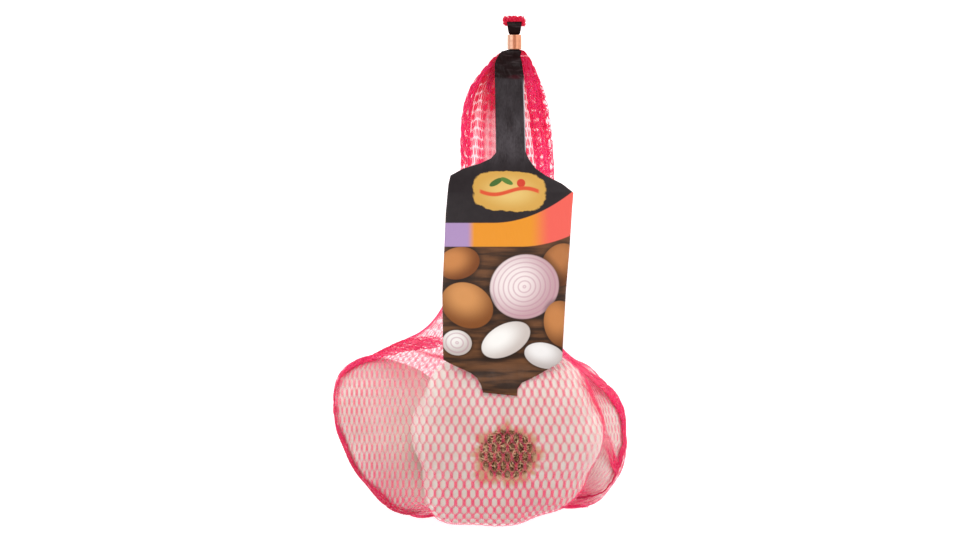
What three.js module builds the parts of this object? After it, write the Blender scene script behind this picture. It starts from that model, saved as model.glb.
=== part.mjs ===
// A net bag of garlic, lying on its back: three bulbs in a knitted sleeve that is welded shut below them and
// gathered into a crimped metal clip above, with a wine-glass label on the front and another on the back.
// Millimetres, +Z up. The sleeve runs along Y, with its clip towards +Y, and the front of the bag faces +Z.
import * as THREE from "three";

// ---- the garlic: each bulb's widest ring is at its centre, and azimuth and elevation, in degrees, give the
// direction in which its root end points. Its largest clove stands out by a share of the radius ----
const bulbs = [
  {
    centre: [9.4, -56, 66.5],
    radius: 33.6,
    rootHeight: 20,
    stemHeight: 24,
    azimuth: -90,
    elevation: 64,
    turn: 10,
    largest: { angle: 234, share: 0.2 },
  },
  {
    centre: [-28.7, -58.5, 29.6],
    radius: 29.6,
    rootHeight: 14.3,
    stemHeight: 22,
    azimuth: 210,
    elevation: -19,
    turn: 40,
    largest: { angle: 190, share: 0.03 },
  },
  {
    centre: [26.1, -57.2, 20.4],
    radius: 26.7,
    rootHeight: 17,
    stemHeight: 21,
    azimuth: 200,
    elevation: -66,
    turn: 22,
    largest: { angle: 339, share: 0.09 },
  },
];
const rootFlatness = 2.8; // exponents of the superellipse that a bulb's half sections follow
const stemFlatness = 1.8;
const cloves = 8;
const cloveRelief = 0.05; // how far the cloves stand out, as a share of the radius
const valleySharpness = 1.5; // above 1 the valleys are narrower than the cloves
const largestHalfWidth = 0.34; // of the largest clove's bulge, in radians

// ---- the net, as a grid of columns round the bag and rows along it ----
const net = {
  columns: 64,
  bagRows: 42,
  neckRows: 20,
  thick: 0.6, // from the garlic to the outside of the net
  weld: [3, -83, 28], // middle of the seam that closes the bottom of the sleeve
  weldHalf: [35, 1.2], // its half width and half thickness
  weldDepth: 2,
  slackHalf: [58, 40, 50], // half sizes of the slack bag that is drawn tight on the garlic
  slackCentre: [0, -56, 44],
  drawSteps: 900,
  evenEvery: 10, // steps between evening out the columns and the rows
  pull: 0.2, // of each neighbour along the sleeve on a point, the rest being round it
  lift: 0.5, // of the neck off the back label between its ends
  dip: 12, // of the net under the front label, and its rise off the back one, where they bridge to the neck
  rise: 7,
  pleats: 10,
  pleatDepth: 1.6,
};
// a fold of slack net, drawn tight along the left bulb's shoulder
const fold = { from: [-42.5, -37.4, 30], to: [-21.5, -27, 32], radius: 4.5 };
// the neck from the waist to the clip: [along Y, left edge X, right edge X]
const neckStations = [
  [-10.7, -12, 22],
  [24.3, -7.6, 26],
  [36.9, -6.9, 26],
  [42.5, -6.8, 25.4],
  [48.1, -6.7, 24.8],
  [53.7, -6.4, 24],
  [56.5, -6, 23.5],
  [59.3, -5.3, 23],
  [62.1, -4.4, 22.3],
  [64.9, -3.1, 21.5],
  [67.7, -1.1, 20.6],
  [70.5, 1.2, 19.4],
  [73.3, 3.7, 18.1],
  [75.4, 5.6, 16.9],
  [76.8, 8.2, 15.6],
];

// ---- the clip: a metal strip crimped round both labels and the net ----
const clip = { x: 12.1, low: 77.5, high: 82.6, width: 4.9, height: 5, wall: 0.6, corner: 1.2, groove: 0.45 };
const gap = 0.3; // between pieces that touch

// what lies in the clip, from the floor up: the back label, the net, the front label
const backStrip = { low: clip.wall + gap, thick: 0.4 };
const netStrip = { low: backStrip.low + backStrip.thick + gap, thick: 1 };
const frontStrip = { low: netStrip.low + netStrip.thick + gap, thick: 0.7 };
const stripHalfWidth = clip.width / 2 - clip.wall - gap;

// ---- the labels ----
const label = {
  thick: 0.6,
  bow: 3.6, // how far its long edges bend down at their widest, 22 from its middle
  bowHalfWidth: 22,
  backShift: -4.6, // of the back label's neck from the front one's, along X
  columns: 10,
  tab: [-43.4, 93], // [Y, Z] of its middle line, from the tear-off tab over the garlic to the clip
  tabPull: [-34, 93.8],
  shoulder: [-25, 86.4],
  shoulderPull: [0, 66],
  clipPull: [36, 16],
  tabRows: 8,
  bodyRows: 44,
};
// outline from the tab to the clip: [along Y, left edge X, right edge X]
const labelStations = [
  [-43.4, 1, 12.9],
  [-41, 0.4, 13],
  [-38.6, -1, 14.6],
  [-37, -2.8, 18],
  [-35, -6.2, 22.4],
  [-33, -9.8, 27],
  [-31.4, -12.8, 28.6],
  [-8, -13.2, 30],
  [8, -12.5, 31.4],
  [20, -12, 32.2],
  [27, -11.4, 32.8],
  [30, -11.1, 29],
  [33, -10.4, 23],
  [35.4, -6, 19.6],
  [37.2, 0, 18.2],
  [39, 3.8, 17],
  [41, 5.6, 16.2],
  [68, 5.2, 15.4],
  [72.6, 5.2, 14.8],
  [75, 6.2, 14.2],
  [76.8, 7.6, 14.6],
];

// ---- the cut ends above the clip ----
const frill = { top: 89.4, halfWidth: 3.9, low: 1.6, high: 4, waves: 7, waveDepth: 0.2, ripples: 3 };
const frillBase = { rise: 1, widening: 1.4 }; // just above the clip, where the bunch starts to spread
const frillNarrow = 0.8; // half way up the frill and at its very end, as a share of its half width
const flare = { top: 87, halfWidth: 2.5, rise: 1.4 };
const backFlare = { top: 86, halfWidth: 2.2, rise: -0.2 };
const flareBase = { rise: 0.6, halfWidth: 1.9, share: 0.2 }; // just above the clip, at this share of the flare's rise

const ease = (t) => {
  const c = THREE.MathUtils.clamp(t, 0, 1);
  return c * c * (3 - 2 * c);
};
const mix = THREE.MathUtils.lerp;

// Value of a line of [y, ...values] stations at a place along Y, straight between the stations.
function along(stations, y, value) {
  let k = 0;
  while (k < stations.length - 2 && y > stations[k + 1][0]) k++;
  const [from, to] = [stations[k], stations[k + 1]];
  const t = THREE.MathUtils.clamp((y - from[0]) / (to[0] - from[0]), 0, 1);
  return mix(from[value], to[value], t);
}

// The front label's underside along its middle, as [Y, Z] at each row: over the garlic, then down to the clip.
const overGarlic = new THREE.QuadraticBezierCurve(
  new THREE.Vector2(...label.tab),
  new THREE.Vector2(...label.tabPull),
  new THREE.Vector2(...label.shoulder)
);
const toClip = new THREE.CubicBezierCurve(
  new THREE.Vector2(...label.shoulder),
  new THREE.Vector2(...label.shoulderPull),
  new THREE.Vector2(...label.clipPull),
  new THREE.Vector2(clip.low - 0.7, frontStrip.low)
);
const labelLine = [...overGarlic.getPoints(label.tabRows).slice(0, -1), ...toClip.getPoints(label.bodyRows)].map(
  (p) => [p.x, p.y]
);

// ---- the net ----
for (const b of bulbs) {
  b.at = new THREE.Vector3(...b.centre);
  b.root = new THREE.Vector3(1, 0, 0)
    .applyAxisAngle(new THREE.Vector3(0, 1, 0), -THREE.MathUtils.degToRad(b.elevation))
    .applyAxisAngle(new THREE.Vector3(0, 0, 1), THREE.MathUtils.degToRad(b.azimuth));
  b.side = new THREE.Vector3(0, 0, 1).cross(b.root).normalize();
  b.other = b.root.clone().cross(b.side);
}

const foldLine = new THREE.Line3(new THREE.Vector3(...fold.from), new THREE.Vector3(...fold.to));

// A bulb's radius at an angle round it, as a share of its largest without the bulge of its largest clove.
function cloveShare(b, around) {
  const valley = (0.5 - 0.5 * Math.cos(cloves * around + THREE.MathUtils.degToRad(b.turn))) ** valleySharpness;
  const aside = around - THREE.MathUtils.degToRad(b.largest.angle);
  const away = Math.abs(Math.atan2(Math.sin(aside), Math.cos(aside)));
  return 1 - cloveRelief * valley + b.largest.share * Math.exp(-((away / largestHalfWidth) ** 2));
}

// Moves a point that is inside a bulb's net straight out from the bulb's centre.
function pushOutOfBulb(p, b) {
  const d = p.clone().sub(b.at);
  const [h, u, v] = [d.dot(b.root), d.dot(b.side), d.dot(b.other)];
  const radius = b.radius * cloveShare(b, Math.atan2(v, u)) + net.thick;
  const height = (h > 0 ? b.rootHeight : b.stemHeight) + net.thick;
  const power = h > 0 ? rootFlatness : stemFlatness;
  const depth = ((Math.abs(h) / height) ** power + (Math.hypot(u, v) / radius) ** power) ** (1 / power);
  if (depth < 1) p.copy(b.at).addScaledVector(d, 1 / Math.max(depth, 0.05));
}

// Moves a point that is inside the fold straight out from the fold's middle line.
function pushOutOfFold(p) {
  const middle = foldLine.closestPointToPoint(p, true, new THREE.Vector3());
  const out = p.clone().sub(middle);
  if (out.length() < fold.radius) p.copy(middle).add(out.setLength(fold.radius));
}

// The lowest that the net lies: on the floor under the garlic, and on the back label from its end on.
function underside(y) {
  const onLabel = ease((y - label.tab[0] + 5) / 4);
  const lift = net.lift * ease((70 - y) / 6);
  return onLabel * (backStrip.thick + gap + lift + backStrip.low * ease((y - 66) / 9));
}

// The neck's section at a place along Y: an oval on the back label and under the front one, with pleats that
// deepen towards the clip.
function neckPoint(y, angle) {
  const [left, right] = [along(neckStations, y, 1), along(neckStations, y, 2)];
  const bridge = ease((20 - y) / 30);
  const low = underside(y) + net.rise * bridge;
  const high = Math.max(along(labelLine, y, 1) - gap - label.thick - net.dip * bridge, low + netStrip.thick);
  const pleat = net.pleatDepth * ease((y + 5) / 40) * ease((76 - y) / 8) * (0.5 - 0.5 * Math.cos(net.pleats * angle));
  const halfWidth = (right - left) / 2 - pleat;
  const halfHeight = (high - low) / 2 - Math.min(pleat, (high - low) / 5);
  return new THREE.Vector3(
    (left + right) / 2 + halfWidth * Math.cos(angle),
    y,
    (low + high) / 2 + halfHeight * Math.sin(angle)
  );
}

// Spaces the points of a line evenly along it, between its first and its last.
function evenOut(line) {
  const old = line.map((p) => p.clone());
  const run = [0];
  for (let i = 1; i < old.length; i++) run.push(run[i - 1] + old[i].distanceTo(old[i - 1]));
  for (let i = 1, k = 0; i < old.length - 1; i++) {
    const goal = (run.at(-1) * i) / (old.length - 1);
    while (run[k + 1] < goal) k++;
    line[i].lerpVectors(old[k], old[k + 1], (goal - run[k]) / (run[k + 1] - run[k]));
  }
}

// Evens out the net: each row of the bag between its top and its bottom, then each column up to the neck.
function evenNet(rows) {
  const [n, half] = [net.columns, net.columns / 2];
  for (const { hold, points } of rows)
    if (hold === 0)
      for (const start of [n / 4, n / 4 + half])
        evenOut([...Array(half + 1).keys()].map((i) => points[(start + i) % n]));
  for (let i = 0; i < n; i++) evenOut(rows.slice(0, net.bagRows + 1).map((row) => row.points[i]));
}

// The grid of the net from the weld to the clip. It starts slack and is drawn tight: each point moves to the
// middle of its four neighbours, and then out of the garlic and off the floor. The neck holds its own form.
function netGrid() {
  const last = net.bagRows + net.neckRows;
  const angles = [...Array(net.columns).keys()].map((i) => (2 * Math.PI * i) / net.columns);
  const rows = [];
  for (let j = 0; j <= last; j++) {
    const tilt = (Math.PI * (j + 0.5)) / (net.bagRows + 1);
    const neckY = mix(neckStations[0][0], neckStations.at(-1)[0], (j - net.bagRows) / net.neckRows);
    const hold = j === 0 ? 1 : ease((neckY - neckStations[0][0]) / 30);
    const points = angles.map((a) => {
      if (j === 0)
        return new THREE.Vector3(net.weldHalf[0] * Math.cos(a), 0, net.weldHalf[1] * Math.sin(a)).add(
          new THREE.Vector3(...net.weld)
        );
      if (j >= net.bagRows) return neckPoint(neckY, a);
      return new THREE.Vector3(Math.sin(tilt) * Math.cos(a), -Math.cos(tilt), Math.sin(tilt) * Math.sin(a))
        .multiply(new THREE.Vector3(...net.slackHalf))
        .add(new THREE.Vector3(...net.slackCentre));
    });
    rows.push({ hold, points, home: points.map((p) => p.clone()) });
  }
  for (let step = 1; step <= net.drawSteps; step++) {
    if (step % net.evenEvery === 0) evenNet(rows);
    for (let j = 1; j < last; j++) {
      const { hold, points, home } = rows[j];
      if (hold === 1) break;
      for (let i = 0; i < net.columns; i++) {
        const p = points[i];
        p.set(0, 0, 0)
          .addScaledVector(rows[j - 1].points[i], net.pull)
          .addScaledVector(rows[j + 1].points[i], net.pull)
          .addScaledVector(points[(i + 1) % net.columns], 0.5 - net.pull)
          .addScaledVector(points[(i + net.columns - 1) % net.columns], 0.5 - net.pull)
          .lerp(home[i], hold);
        pushOutOfFold(p);
        for (const b of bulbs) pushOutOfBulb(p, b);
        p.z = Math.max(p.z, underside(p.y));
      }
    }
  }
  return rows.map((row) => row.points);
}

// ---- solids from grids of points ----
// A closed solid from rings of points, each end closed to a point.
function loft(rings, firstEnd, lastEnd) {
  const n = rings[0].length;
  const points = [firstEnd, ...rings.flat(), lastEnd];
  const faces = [];
  const at = (j, i) => 1 + j * n + (i % n);
  for (let i = 0; i < n; i++) {
    faces.push(0, at(0, i), at(0, i + 1));
    faces.push(points.length - 1, at(rings.length - 1, i + 1), at(rings.length - 1, i));
    for (let j = 0; j < rings.length - 1; j++) {
      faces.push(at(j, i), at(j + 1, i), at(j + 1, i + 1));
      faces.push(at(j, i), at(j + 1, i + 1), at(j, i + 1));
    }
  }
  const geometry = new THREE.BufferGeometry().setFromPoints(points);
  geometry.setIndex(faces);
  geometry.computeVertexNormals();
  return geometry;
}

// A thin sheet from rows of points that run from left to right, each row as thick upwards as thick(row) says.
function sheet(rows, thick) {
  const rings = rows.map((row) => [
    ...row,
    ...row.map((p) => new THREE.Vector3(p.x, p.y, p.z + thick(row))).reverse(),
  ]);
  const middle = (ring) =>
    ring.reduce((sum, p) => sum.add(p), new THREE.Vector3()).multiplyScalar(1 / ring.length);
  return loft(rings, middle(rings[0]), middle(rings.at(-1)));
}

// The net round the garlic, with the bunch of it that passes through the clip and the frill of its cut end.
function netBag() {
  const rings = netGrid();
  const top = netStrip.low + netStrip.thick;
  const bunch = (y, halfWidth, low, high, wave) =>
    rings[0].map((_, i) => {
      const a = (2 * Math.PI * i) / net.columns;
      const reach = 1 - wave * (0.5 + 0.5 * Math.cos(frill.waves * a));
      return new THREE.Vector3(
        clip.x + halfWidth * Math.cos(a) * reach,
        y + wave * Math.cos(frill.ripples * a),
        (low + high) / 2 + ((high - low) / 2) * Math.sin(a) * reach
      );
    });
  rings.push(
    bunch(clip.low, stripHalfWidth, netStrip.low, top, 0),
    bunch(clip.high, stripHalfWidth, netStrip.low, top, 0),
    bunch(clip.high + frillBase.rise, stripHalfWidth * frillBase.widening, netStrip.low, top, 0),
    bunch(mix(clip.high, frill.top, 0.55), frill.halfWidth * frillNarrow, frill.low, top, frill.waveDepth / 2),
    bunch(frill.top - 1, frill.halfWidth, frill.low, frill.high, frill.waveDepth),
    bunch(frill.top, frill.halfWidth * frillNarrow, frill.low + 0.4, frill.high - 0.3, frill.waveDepth)
  );
  const [x, y, z] = net.weld;
  return loft(
    rings,
    new THREE.Vector3(x, y - net.weldDepth, z),
    new THREE.Vector3(clip.x, frill.top - 1, (frill.low + frill.high) / 2)
  );
}

// Rows of a label: line gives [Y, Z] of its middle, bow(y) how far it bends down at its widest and shift(y)
// how far it lies to the side. After them comes the gathered strip that passes through the clip and flares
// above it.
function labelRows(line, bow, shift, strip, end) {
  const across = [...Array(label.columns + 1).keys()].map((i) => (2 * i) / label.columns - 1);
  const row = (y, z, left, right, bend) =>
    across.map((u) => {
      const out = (Math.abs(u) * (right - left)) / 2 / label.bowHalfWidth;
      return new THREE.Vector3(mix(left, right, (u + 1) / 2), y, z - bend * out ** 2.5);
    });
  const strips = [
    [clip.low, stripHalfWidth, 0],
    [clip.high, stripHalfWidth, 0],
    [clip.high + flareBase.rise, flareBase.halfWidth, end.rise * flareBase.share],
    [end.top, end.halfWidth, end.rise],
  ];
  return [
    ...line.map(([y, z]) => {
      const [left, right] = [along(labelStations, y, 1), along(labelStations, y, 2)];
      return row(y, z, left + shift(y), right + shift(y), bow(y));
    }),
    ...strips.map(([y, half, rise]) => row(y, strip.low + rise, clip.x - half, clip.x + half, 0)),
  ];
}

// The front label lies over the garlic, bridges to the neck and follows it down to the clip.
function frontLabel() {
  const bow = (y) => label.bow * ease((62 - y) / 40);
  const rows = labelRows(labelLine, bow, () => 0, frontStrip, flare);
  return sheet(rows, ([p]) => mix(label.thick, frontStrip.thick, ease((p.y - 75) / 2)));
}

// The back label lies flat under the neck and rises at its end into the clip.
function backLabel() {
  const line = labelStations.map(([y]) => [y, backStrip.low * ease((y - 66) / 9)]);
  const shift = (y) => label.backShift * ease((74 - y) / 8) * ease((y - 34) / 8);
  return sheet(labelRows(line, () => 0, shift, backStrip, backFlare), () => backStrip.thick);
}

// The clip's section, with rounded corners and a groove down the front where its two legs meet.
function clipBand() {
  const [w, h, r, g] = [clip.width / 2, clip.height, clip.corner, clip.groove];
  const outer = new THREE.Shape();
  outer.moveTo(-w + r, 0);
  outer.lineTo(w - r, 0);
  outer.quadraticCurveTo(w, 0, w, r);
  outer.lineTo(w, h - r);
  outer.quadraticCurveTo(w, h, w - r, h);
  outer.quadraticCurveTo(g, h, 0, h - g);
  outer.quadraticCurveTo(-g, h, -w + r, h);
  outer.quadraticCurveTo(-w, h, -w, h - r);
  outer.lineTo(-w, r);
  outer.quadraticCurveTo(-w, 0, -w + r, 0);
  const [innerHalf, innerTop] = [w - clip.wall, h - clip.wall - g];
  const inner = new THREE.Path();
  inner.moveTo(-innerHalf, clip.wall);
  inner.lineTo(-innerHalf, innerTop);
  inner.lineTo(innerHalf, innerTop);
  inner.lineTo(innerHalf, clip.wall);
  inner.closePath();
  outer.holes.push(inner);
  const depth = clip.high - clip.low;
  const geometry = new THREE.ExtrudeGeometry(outer, { depth, bevelEnabled: false, curveSegments: 6 });
  geometry.rotateX(Math.PI / 2);
  geometry.translate(clip.x, clip.high, 0);
  return geometry;
}

// ---- the bag ----
const finish = (color, roughness, metalness) => new THREE.MeshStandardMaterial({ color, roughness, metalness });
const bag = new THREE.Group();
const pieces = {
  net_bag: [netBag(), finish(0xe8557f, 0.55, 0)],
  front_label: [frontLabel(), finish(0x3a3234, 0.4, 0)],
  back_label: [backLabel(), finish(0xe6e2dc, 0.5, 0)],
  clip: [clipBand(), finish(0xd99a72, 0.3, 0.9)],
};
for (const [name, [geometry, material]] of Object.entries(pieces)) {
  const mesh = new THREE.Mesh(geometry, material);
  mesh.name = name;
  bag.add(mesh);
}

// The origin is on the floor, under the middle of the bag's box.
const box = new THREE.Box3().setFromObject(bag);
const middle = box.getCenter(new THREE.Vector3());
bag.position.set(-middle.x, -middle.y, -box.min.z);

export default bag;
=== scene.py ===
import bpy
import numpy as np
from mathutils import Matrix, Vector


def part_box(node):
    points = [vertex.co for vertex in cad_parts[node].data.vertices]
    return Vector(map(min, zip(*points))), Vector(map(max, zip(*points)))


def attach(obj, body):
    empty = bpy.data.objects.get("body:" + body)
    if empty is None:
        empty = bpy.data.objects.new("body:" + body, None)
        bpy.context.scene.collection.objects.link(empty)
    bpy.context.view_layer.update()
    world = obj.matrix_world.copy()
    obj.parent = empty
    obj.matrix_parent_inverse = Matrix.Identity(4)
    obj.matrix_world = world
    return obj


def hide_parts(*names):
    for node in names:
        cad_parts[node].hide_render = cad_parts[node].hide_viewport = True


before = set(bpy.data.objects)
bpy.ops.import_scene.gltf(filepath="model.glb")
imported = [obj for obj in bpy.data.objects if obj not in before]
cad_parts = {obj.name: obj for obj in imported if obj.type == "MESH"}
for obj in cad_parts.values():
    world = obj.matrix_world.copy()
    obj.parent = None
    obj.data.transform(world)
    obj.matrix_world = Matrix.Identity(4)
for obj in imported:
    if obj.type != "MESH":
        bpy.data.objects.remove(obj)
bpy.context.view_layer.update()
print("frame loaded")

# everything below is worked out in millimetres, as the bag was drawn, and moved into the frame at the end
clip = {
    "x": 12.1, "low": 77.5, "high": 82.6,  # its middle, and its ends along Y
    "width": 4.9, "height": 5.0, "wall": 0.6, "corner": 1.2, "groove": 0.45, "grooveWidth": 0.35,
    "sections": 30, "edgeRound": 0.18, "crimps": 3, "crimpDepth": 0.025,
}
clipLow, clipHigh = (np.array(corner) * 1000 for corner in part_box("clip"))
shift = np.array([(clipLow[0] + clipHigh[0]) / 2 - clip["x"], clipHigh[1] - clip["high"], 0.0])


def ease(t):  # 0 to 1 with a soft start and end
    c = np.clip(t, 0, 1)
    return c * c * (3 - 2 * c)


def unit(v):  # vectors at length 1
    return v / np.maximum(np.linalg.norm(v, axis=-1, keepdims=True), 1e-9)


def mix(a, b, t):
    return a + (b - a) * t


def ramp(value, start, end):  # 0 at start and 1 at end with soft ends, start being the lower or the higher
    return ease((value - start) / (end - start))


def stack(*values):  # arrays joined as the coordinates of points
    return np.stack(np.broadcast_arrays(*values), axis=-1)


def running(steps):  # running sums of steps, starting at 0
    return np.concatenate([np.zeros((1, *steps.shape[1:])), np.cumsum(steps, axis=0)])


def inFrame(point):  # a point of the drawing, or its first coordinates, in the frame's metres
    return tuple((np.array(point) + shift[: len(point)]) / 1000)


def gridQuads(rows, columns, wrap):  # quads of a grid of points, its last column joined to its first if wrap
    j, i = np.meshgrid(np.arange(rows - 1), np.arange(columns if wrap else columns - 1), indexing="ij")
    nextColumn = (i + 1) % columns
    low, high = j * columns, (j + 1) * columns
    return stack(low + i, low + nextColumn, high + nextColumn, high + i).reshape(-1, 4)


def addMesh(name, points, faceSets, materials, uv=None):
    # faceSets holds arrays of quads or triangles; uv gives each point's own two numbers
    mesh = bpy.data.meshes.new(name)
    points = (np.asarray(points, dtype=float).reshape(-1, 3) + shift) / 1000
    mesh.vertices.add(len(points))
    mesh.vertices.foreach_set("co", points.ravel())
    loops = np.concatenate([f.ravel() for f in faceSets]).astype(np.int32)
    totals = np.concatenate([np.full(len(f), f.shape[1]) for f in faceSets])
    mesh.loops.add(len(loops))
    mesh.loops.foreach_set("vertex_index", loops)
    mesh.polygons.add(len(totals))
    mesh.polygons.foreach_set("loop_start", running(totals[:-1]).astype(np.int32))
    mesh.polygons.foreach_set("use_smooth", np.ones(len(totals), dtype=bool))
    mesh.update(calc_edges=True)
    mesh.validate()
    if uv is not None:
        layer = mesh.uv_layers.new(name="own")
        layer.data.foreach_set("uv", np.asarray(uv, dtype=float).reshape(-1, 2)[loops].ravel())
    for material in materials:
        mesh.materials.append(material)
    piece = bpy.data.objects.new(name, mesh)
    bpy.context.scene.collection.objects.link(piece)
    return piece


def addTubes(name, material, sides, paths, normals, widths, heights, u, v):
    # Tubes along many paths at once: round each point stands an oval of that half width, across the path, and
    # that half height, along the normal, all of whose points have the UV numbers u and v. A fan closes each
    # end.
    count, steps = paths.shape[:2]
    along = unit(np.gradient(paths, axis=1))
    across = unit(np.cross(along, normals))
    up = np.cross(across, along)
    turn = 2 * np.pi * np.arange(sides) / sides
    ring = (
        across[:, :, None] * (np.cos(turn)[:, None] * widths[..., None, None])
        + up[:, :, None] * (np.sin(turn)[:, None] * heights[..., None, None])
    )
    points = (paths[:, :, None] + ring).reshape(count, -1, 3)
    points = np.concatenate([points, paths[:, :1], paths[:, -1:]], axis=1)
    uv = stack(u, v)
    uv = np.concatenate([np.repeat(uv, sides, axis=1), uv[:, :1], uv[:, -1:]], axis=1)
    k, last, end = np.arange(sides), (steps - 1) * sides, steps * sides
    faces = (
        gridQuads(steps, sides, True)[:, ::-1],
        stack(end, k, (k + 1) % sides),
        stack(end + 1, last + (k + 1) % sides, last + k),
    )
    offsets = (np.arange(count) * (end + 2))[:, None, None]
    faces = [(f[None] + offsets).reshape(-1, f.shape[1]) for f in faces]
    return addMesh(name, points, faces, [material], uv)


def feed(value, socket):  # a wire or a constant into a socket
    if isinstance(value, Wire):
        value.tree.links.new(value.socket, socket)
    else:
        socket.default_value = value


def put(tree, kind, links=None, output=0, **settings):  # one node, with its inputs and its properties
    node = tree.nodes.new("ShaderNode" + kind)
    for key, value in settings.items():
        setattr(node, key, value)
    for key, value in (links or {}).items():
        feed(value, node.inputs[key])
    return Wire(tree, node.outputs[output])


def screen(red, green, blue):  # a screen colour of 0 to 255 as the linear colour that shaders take
    c = np.array([red, green, blue]) / 255
    return (*np.where(c <= 0.04045, c / 12.92, ((c + 0.055) / 1.055) ** 2.4), 1)


class Wire:  # a node's output, with which sums and mixes are written as plain arithmetic
    def __init__(self, tree, socket):
        self.tree, self.socket = tree, socket

    def math(self, operation, *others):
        return put(self.tree, "Math", dict(enumerate((self, *others))), operation=operation)

    def __add__(self, other):
        return self.math("ADD", other)

    def __mul__(self, other):
        return self.math("MULTIPLY", other)

    def __sub__(self, other):
        return self.math("SUBTRACT", other)

    def __rsub__(self, other):
        return put(self.tree, "Math", {0: other, 1: self}, operation="SUBTRACT")

    def __abs__(self):
        return self.math("ABSOLUTE")

    def soft(self, low, high):  # 0 below low and 1 above high, or the other way round
        rising = low < high
        inputs = {1: min(low, high), 2: max(low, high), 3: 0 if rising else 1, 4: 1 if rising else 0}
        return put(self.tree, "MapRange", {0: self, **inputs}, interpolation_type="SMOOTHSTEP")

    def spread(self, low, high):  # 0 to 1 as low to high
        return put(self.tree, "MapRange", {0: self, 3: low, 4: high})

    def between(self, first, second):  # the first colour where this is 0, the second where it is 1
        ends = [end if isinstance(end, Wire) else screen(*end) for end in (first, second)]
        return put(self.tree, "Mix", {0: self, 6: ends[0], 7: ends[1]}, 2, data_type="RGBA")

    def parts(self):  # X, Y and Z of a place
        node = put(self.tree, "SeparateXYZ", {0: self}).socket.node
        return [Wire(self.tree, socket) for socket in node.outputs]

    def mapped(self, **how):
        return put(self.tree, "Mapping", {"Vector": self, **how})

    def noise(self, scale, detail, **more):
        return put(self.tree, "TexNoise", {"Vector": self, "Scale": scale, "Detail": detail, **more})

    def through(self, group, **inputs):  # what a node group makes of this place
        node = self.tree.nodes.new("ShaderNodeGroup")
        node.node_tree = group
        for key, value in {"Vector": self, **inputs}.items():
            feed(value, node.inputs[key])
        return Wire(self.tree, node.outputs[0])

    def oval(self, centre, half, turn=0):
        # How far this place is from an oval's centre, as a share of its half sizes, and the place in the
        # oval's own turned and scaled coordinates.
        moved = self.mapped(Location=(-centre[0], -centre[1], 0)).mapped(Rotation=(0, 0, np.radians(-turn)))
        local = moved.mapped(Scale=(1 / half[0], 1 / half[1], 0))
        return put(self.tree, "VectorMath", {0: local}, "Value", operation="LENGTH"), local


def bump(height, strength, distance, **under):  # a normal from a height, over another normal if one is given
    return put(height.tree, "Bump", {"Height": height, "Strength": strength, "Distance": distance, **under})


def newGroup(name, output, kind, *numbers):  # a node group that takes a place and some numbers
    tree = bpy.data.node_groups.new(name, "ShaderNodeTree")
    tree.interface.new_socket("Vector", in_out="INPUT", socket_type="NodeSocketVector")
    for number in numbers:
        tree.interface.new_socket(number, in_out="INPUT", socket_type="NodeSocketFloat")
    tree.interface.new_socket(output, in_out="OUTPUT", socket_type="NodeSocket" + kind)
    wires = [Wire(tree, socket) for socket in tree.nodes.new("NodeGroupInput").outputs[:-1]]
    return tree, tree.nodes.new("NodeGroupOutput").inputs[0], *wires


def newMaterial(name, look):  # look gives the shader's inputs from the piece's own UV and from its place
    material = bpy.data.materials.new(name)
    material.use_nodes = True
    tree = material.node_tree
    own, place = put(tree, "UVMap", uv_map="own"), put(tree, "TexCoord", output="Object")
    for key, value in look(own, place).items():
        feed(value, tree.nodes["Principled BSDF"].inputs[key])
    for unused in [wire.socket.node for wire in (own, place) if not wire.socket.is_linked]:
        tree.nodes.remove(unused)
    return material


# mottle: two sizes of noise mixed into one soft value of 0 to 1, for stains and uneven colour
mottle, value, place, coarse, fine, share = newGroup("mottle", "Value", "Float", "Coarse", "Fine", "Share")
broad, close = place.noise(coarse, 3.0), place.noise(fine, 4.0)
both = put(mottle, "Mix", {0: share, 2: broad, 3: close}, data_type="FLOAT")
feed(both.soft(0.3, 0.7), value)

# creases: ridged noise as a height, for film that has been folded and handled
creases, height, place, scale, sharpness = newGroup("creases", "Height", "Float", "Scale", "Sharpness")
ridge = abs(place.noise(scale, 2.0) - 0.5) * 2.0
feed(ridge.math("POWER", sharpness), height)

# the bulbs: azimuth and elevation, in degrees, give the direction in which the root end points
bulbs = [
    {"name": "bulb_front", "centre": (9.4, -56, 66.5), "radius": 33.6, "rootHeight": 20, "stemHeight": 24,
     "azimuth": -90, "elevation": 64, "turn": 10, "largest": (234, 0.2), "rootDisc": 10.2,
     "roots": 430, "seed": 3},
    {"name": "bulb_left", "centre": (-28.7, -58.5, 29.6), "radius": 29.6, "rootHeight": 14.3,
     "stemHeight": 22, "azimuth": 210, "elevation": -19, "turn": 40, "largest": (190, 0.03), "rootDisc": 8.6,
     "roots": 260, "seed": 5},
    {"name": "bulb_right", "centre": (26.1, -57.2, 20.4), "radius": 26.7, "rootHeight": 17, "stemHeight": 21,
     "azimuth": 200, "elevation": -66, "turn": 22, "largest": (339, 0.09), "rootDisc": 7.8,
     "roots": 220, "seed": 8},
]
garlic = {
    "rootFlatness": 2.8, "stemFlatness": 1.8,  # exponents of the curve that the bulb's half sections follow
    "cloves": 8,
    "relief": 0.05,  # how far the cloves stand out, as a share of the radius
    "bumpWidth": 0.34,  # of the largest clove's bulge, in radians
    "valley": 1.5,  # above 1 the valleys between the cloves are narrower than the cloves
    "rings": 150, "points": 320,
    "rootRecess": 2.4,
    "lowest": 0.3,
    "wrinkle": 0.22,  # of the skin, inwards
}


def bulbAxes(bulb):  # a bulb's own axes: towards its root and to two sides
    azimuth, elevation = np.radians(bulb["azimuth"]), np.radians(bulb["elevation"])
    level = np.cos(elevation)
    root = np.array([level * np.cos(azimuth), level * np.sin(azimuth), np.sin(elevation)])
    side = unit(np.cross([0, 0, 1], root))
    return root, side, np.cross(root, side)


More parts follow.
